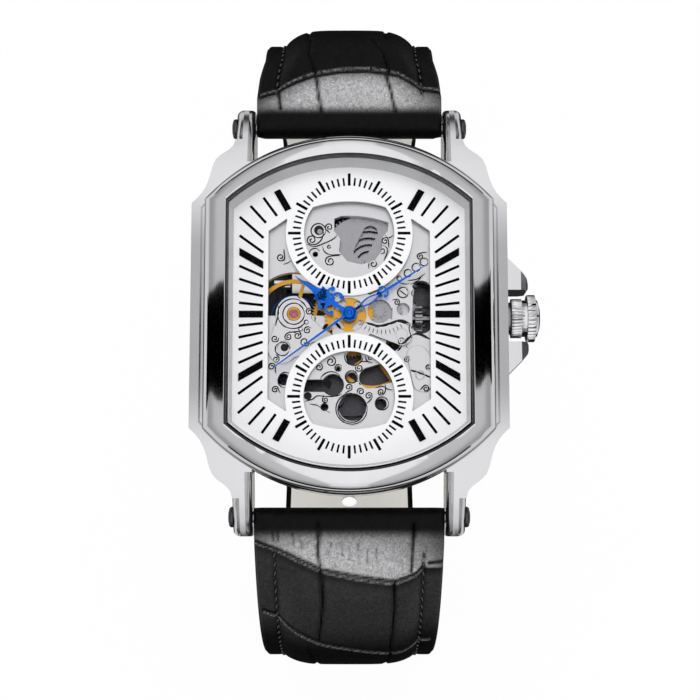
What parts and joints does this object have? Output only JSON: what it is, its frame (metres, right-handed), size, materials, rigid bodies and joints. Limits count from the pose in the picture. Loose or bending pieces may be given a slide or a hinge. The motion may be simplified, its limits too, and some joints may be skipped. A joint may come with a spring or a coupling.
{
  "type": "mechanical wristwatch",
  "caption": "Automatic wristwatch: barrel-shaped steel case, open-worked dial over its moving gear train, padded leather strap with buckle.",
  "frame": {"origin": "on the hands' axis, at the outer face of the case back's glass", "axes": "+Z out of the dial, +Y towards twelve o'clock, +X towards the crown"},
  "size_m": [0.0443, 0.0857, 0.0614],
  "materials": {
    "case_steel": "satin",
    "bezel_steel": "polished",
    "hardware_steel": "polished",
    "sapphire": "polished",
    "gasket": "matt",
    "dial_white": "satin",
    "dial_black": "gloss",
    "blued_steel": "polished",
    "movement_plate": "engraved satin",
    "movement_gold": "satin",
    "movement_steel": "polished",
    "ruby": "polished",
    "holder": "matt",
    "strap_leather": "glossy grained",
    "keeper_leather": "glossy grained",
    "buckle_steel": "polished"
  },
  "bodies": {
    "case": {"case_middle": "case_steel", "bezel": "bezel_steel", "crystal": "sapphire", "crystal_gasket": "gasket", "inner_ring": "hardware_steel", "case_back": "case_steel", "back_crystal": "sapphire", "case_back_gasket": "gasket", "case_back_screws": "hardware_steel", "crown_tube": "hardware_steel", "movement_ring": "holder", "dial": "dial_white", "hour_batons": "dial_black", "motion_cover": "movement_plate", "keyless_cover": "movement_plate", "main_plate": "movement_plate", "balance_lower_cock": "movement_plate", "jewels": "ruby", "pallet_bridge": "movement_plate", "balance_cock": "movement_plate", "barrel_bridge": "movement_plate", "train_bridge": "movement_plate", "bridge_screws": "blued_steel", "click": "movement_steel", "rotor_bearing": "movement_steel", "lug_bars": "hardware_steel", "lug_screws": "hardware_steel"},
    "crown_slide": {"crown_gasket": "gasket"},
    "crown_turn": {"crown": "bezel_steel", "winding_stem": "hardware_steel", "winding_pinion": "movement_steel"},
    "crown_gear": {"crown_wheel": "movement_steel"},
    "ratchet": {"ratchet_wheel": "movement_steel"},
    "barrel": {"barrel": "movement_steel", "mainspring": "blued_steel"},
    "minute": {"minute_hand": "blued_steel", "cannon_pinion": "movement_gold", "centre_wheel": "movement_gold"},
    "hour": {"hour_hand": "blued_steel", "hour_wheel": "movement_gold"},
    "motion": {"minute_wheel": "movement_gold"},
    "third": {"third_wheel": "movement_gold"},
    "second": {"second_hand": "blued_steel", "hand_cap": "blued_steel", "fourth_wheel": "movement_gold"},
    "escape": {"escape_wheel": "movement_gold"},
    "fork": {"pallet_fork": "movement_steel"},
    "balance": {"balance_wheel": "movement_gold", "balance_spring": "blued_steel"},
    "rotor": {"rotor": "movement_steel"},
    "upper_strap": {"strap_12": "strap_leather", "fixed_keeper": "keeper_leather"},
    "loose_keeper": {"free_keeper": "keeper_leather"},
    "buckle": {"buckle_bar": "buckle_steel", "buckle_frame": "buckle_steel"},
    "tang": {"buckle_tang": "buckle_steel"},
    "lower_strap": {"strap_6": "strap_leather"}
  },
  "joints": [
    {"name": "crown_pull", "type": "slide", "parent": "case", "child": "crown_slide", "axis": [1, 0, 0], "range_m": [0, 0.001]},
    {"name": "crown_turn", "type": "hinge", "parent": "crown_slide", "child": "crown_turn", "pos_m": [0.02, 0, 0.0046], "axis": [1, 0, 0], "continuous": true},
    {"name": "crown_gear_turn", "type": "hinge", "parent": "case", "child": "crown_gear", "pos_m": [0.0066, 0, 0.0045], "axis": [0, 0, 1], "continuous": true},
    {"name": "ratchet_turn", "type": "hinge", "parent": "case", "child": "ratchet", "pos_m": [0.0026, 0.00715, 0.0045], "axis": [0, 0, 1], "continuous": true},
    {"name": "second_turn", "type": "hinge", "parent": "case", "child": "second", "pos_m": [0, 0, 0.0045], "axis": [0, 0, 1], "continuous": true},
    {"name": "minute_turn", "type": "hinge", "parent": "case", "child": "minute", "pos_m": [0, 0, 0.0045], "axis": [0, 0, 1], "continuous": true},
    {"name": "hour_turn", "type": "hinge", "parent": "case", "child": "hour", "pos_m": [0, 0, 0.0045], "axis": [0, 0, 1], "continuous": true},
    {"name": "motion_turn", "type": "hinge", "parent": "case", "child": "motion", "pos_m": [0.0038, 0.00044, 0.0045], "axis": [0, 0, 1], "continuous": true},
    {"name": "third_turn", "type": "hinge", "parent": "case", "child": "third", "pos_m": [0.0029, -0.00444, 0.0045], "axis": [0, 0, 1], "continuous": true},
    {"name": "escape_turn", "type": "hinge", "parent": "case", "child": "escape", "pos_m": [-0.0036, -0.00389, 0.0045], "axis": [0, 0, 1], "continuous": true},
    {"name": "barrel_turn", "type": "hinge", "parent": "case", "child": "barrel", "pos_m": [0.0026, 0.00715, 0.0045], "axis": [0, 0, 1], "continuous": true},
    {"name": "fork_swing", "type": "hinge", "parent": "case", "child": "fork", "pos_m": [-0.00517, -0.00201, 0.0054], "axis": [0, 0, 1], "range_deg": [-4, 4]},
    {"name": "balance_swing", "type": "hinge", "parent": "case", "child": "balance", "pos_m": [-0.007, 0.00016, 0.0047], "axis": [0, 0, 1], "range_deg": [-220, 220], "stiffness_Nm_per_rad": 0.0000005},
    {"name": "rotor_turn", "type": "hinge", "parent": "case", "child": "rotor", "pos_m": [0, 0, 0.0045], "axis": [0, 0, 1], "continuous": true},
    {"name": "strap_12_hinge", "type": "hinge", "parent": "case", "child": "upper_strap", "pos_m": [0, 0.0252, 0.0036], "axis": [1, 0, 0], "range_deg": [-3, 60]},
    {"name": "strap_6_hinge", "type": "hinge", "parent": "case", "child": "lower_strap", "pos_m": [0, -0.0252, 0.0036], "axis": [-1, 0, 0], "range_deg": [-3, 60]},
    {"name": "loose_keeper_slide", "type": "slide", "parent": "upper_strap", "child": "loose_keeper", "axis": [0, -0.0698, -0.9976], "range_m": [-0.004, 0.004]},
    {"name": "buckle_hinge", "type": "hinge", "parent": "upper_strap", "child": "buckle", "pos_m": [0, 0.01367, -0.04695], "axis": [1, 0, 0], "range_deg": [-30, 10]},
    {"name": "tang_hinge", "type": "hinge", "parent": "buckle", "child": "tang", "pos_m": [0, 0.01367, -0.04695], "axis": [-1, 0, 0], "range_deg": [0, 60]}
  ],
  "couplings": [
    {"joint": "crown_gear_turn", "follows": "crown_turn", "ratio": 0.66667},
    {"joint": "ratchet_turn", "follows": "crown_turn", "ratio": -0.42667},
    {"joint": "minute_turn", "follows": "second_turn", "ratio": 0.016667},
    {"joint": "hour_turn", "follows": "second_turn", "ratio": 0.0013889},
    {"joint": "motion_turn", "follows": "second_turn", "ratio": -0.0055556},
    {"joint": "third_turn", "follows": "second_turn", "ratio": -0.13333},
    {"joint": "escape_turn", "follows": "second_turn", "ratio": -9},
    {"joint": "barrel_turn", "follows": "second_turn", "ratio": -0.0025641}
  ]
}
